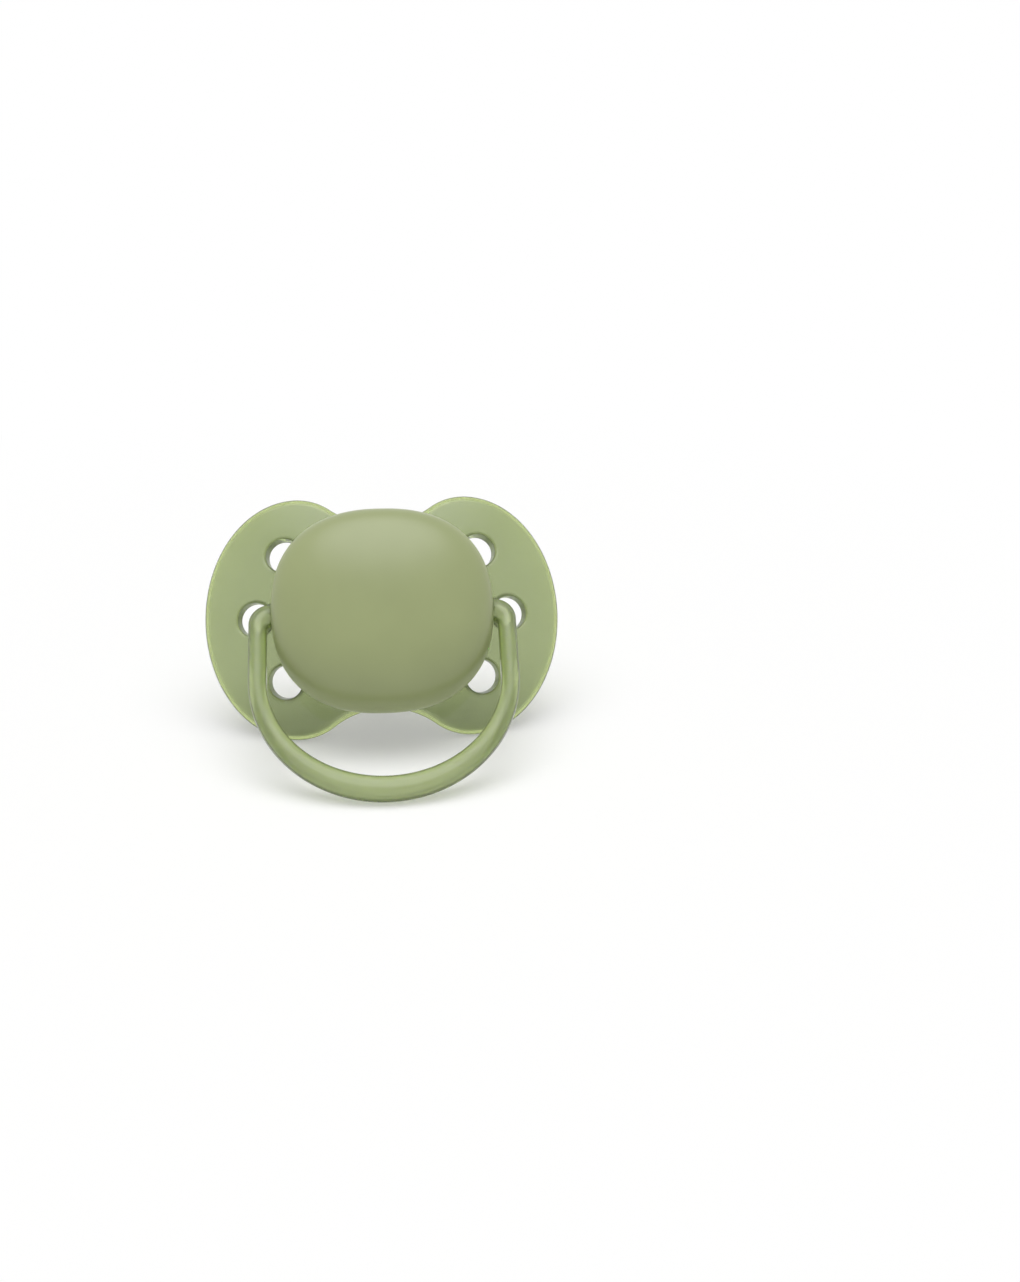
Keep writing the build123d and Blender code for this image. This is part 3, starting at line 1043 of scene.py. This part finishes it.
# %% Plug
# radius and height of each corner of its turned profile, from the foot to the tip, in millimetres
plug_profile = [
    (8.4, -5.9), (8.7, -5.6), (8.7, -4.5), (3.7, -4.5), (3.7, -0.6), (3.5, -0.4),
    (2.45, -0.4), (2.35, -0.3), (1.6, 1.9), (1.45, 2.12), (1.2, 2.2),
]
plug_points = 72
plug = Surface()
plug_rows = [turned(*p, plug_points) for p in plug_profile]
plug.loft(plug_rows)
plug.fan(plug_rows[0], (0, 0, plug_profile[0][1]))
plug.fan(plug_rows[-1], (0, 0, plug_profile[-1][1]))
plug.piece("plug_moulding", soother_axes, "soother", plug_plastic, "teat_plug")
frame["nodes"]["core_plate"].data.materials.clear()
frame["nodes"]["core_plate"].data.materials.append(core_plastic)

# %% [markdown]
# ## Floor, light and camera
# A pale table top lies under one smooth sky of light, brightest overhead and slightly to the front, as a
# large soft box over a product table gives. The camera, reflections and clear plastics never see the sky
# darker than white. The table glows more the farther it is from the soother, so that it stays white to its
# edge. The camera looks down a little on the knob, from slightly to one side.

# %% Floor
table_reach = 6.0
glow_start, glow_full = 0.06, 0.2  # metres from the middle of the frame
glow_near, glow_far = 0.34, 1.0


def glowing_white(name):
    """Matt white whose glow grows with the distance. Diffuse rays miss the glow, so it lights nothing matt."""
    material, tree, shader, where = new_material(name)
    shader.inputs["Base Color"].default_value = (0.95, 0.95, 0.945, 1)
    shader.inputs["Roughness"].default_value = 0.7
    shader.inputs["Specular IOR Level"].default_value = 0.1
    glow = tree.nodes.new("ShaderNodeEmission")
    away = tree.nodes.new("ShaderNodeVectorMath")
    away.operation = "LENGTH"
    link(tree, where, away.inputs[0])
    rays = tree.nodes.new("ShaderNodeLightPath")
    seen = add_math(tree, "SUBTRACT", 1.0, rays.outputs["Is Diffuse Ray"])
    share = add_ramp(tree, away.outputs["Value"], glow_start, glow_full, glow_near, glow_far)
    choose = tree.nodes.new("ShaderNodeMixShader")
    link(tree, add_math(tree, "MULTIPLY", share, seen), choose.inputs["Fac"])
    link(tree, shader.outputs["BSDF"], choose.inputs[1])
    link(tree, glow.outputs["Emission"], choose.inputs[2])
    link(tree, choose.outputs["Shader"], tree.nodes["Material Output"].inputs["Surface"])
    return material


table_top = bpy.data.objects.new("table_top", bpy.data.meshes.new("table_top"))
corners = [(x * table_reach, y * table_reach, 0) for x, y in ((-1, -1), (1, -1), (1, 1), (-1, 1))]
table_top.data.from_pydata(corners, [], [(0, 1, 2, 3)])
bpy.context.scene.collection.objects.link(table_top)
table_top.data.materials.append(glowing_white("white table top"))

# %% Light
overhead = Vector((0, -0.15, 1)).normalized()  # the sky is brightest in this direction
bright_cone = math.radians(44)
dim_strength, full_strength = 0.18, 3.6
sky = bpy.data.worlds.new("even light")
sky.use_nodes = True
bpy.context.scene.world = sky
sky_tree = sky.node_tree
background = sky_tree.nodes["Background"]
background.inputs["Color"].default_value = (1, 1, 1, 1)
toward = sky_tree.nodes.new("ShaderNodeTexCoord")
high = sky_tree.nodes.new("ShaderNodeVectorMath")
high.operation = "DOT_PRODUCT"
high.inputs[1].default_value = overhead
link(sky_tree, toward.outputs["Generated"], high.inputs[0])
lowest = math.cos(bright_cone)
brighter = add_ramp(sky_tree, high.outputs["Value"], lowest, 1.0, dim_strength, full_strength)
brighter.node.interpolation_type = "SMOOTHSTEP"
path = sky_tree.nodes.new("ShaderNodeLightPath")
strength = brighter
for kind in ("Is Camera Ray", "Is Glossy Ray", "Is Transmission Ray"):
    strength = add_math(sky_tree, "MAXIMUM", strength, path.outputs[kind])
link(sky_tree, strength, background.inputs["Strength"])

# %% Camera
camera = bpy.data.objects.new("camera", bpy.data.cameras.new("camera"))
bpy.context.scene.collection.objects.link(camera)
bpy.context.scene.camera = camera
distance, pitch, yaw, aim_height = 0.29452, math.radians(22.57), math.radians(4.35), 0.01437
camera.location = (0, -distance * math.cos(pitch), aim_height + distance * math.sin(pitch))
camera.rotation_euler = (math.pi / 2 - pitch, 0, -yaw)
camera.data.lens = 50.63
camera.data.clip_start = 0.01

# %% Settings
bpy.context.scene.view_settings.view_transform = "Standard"
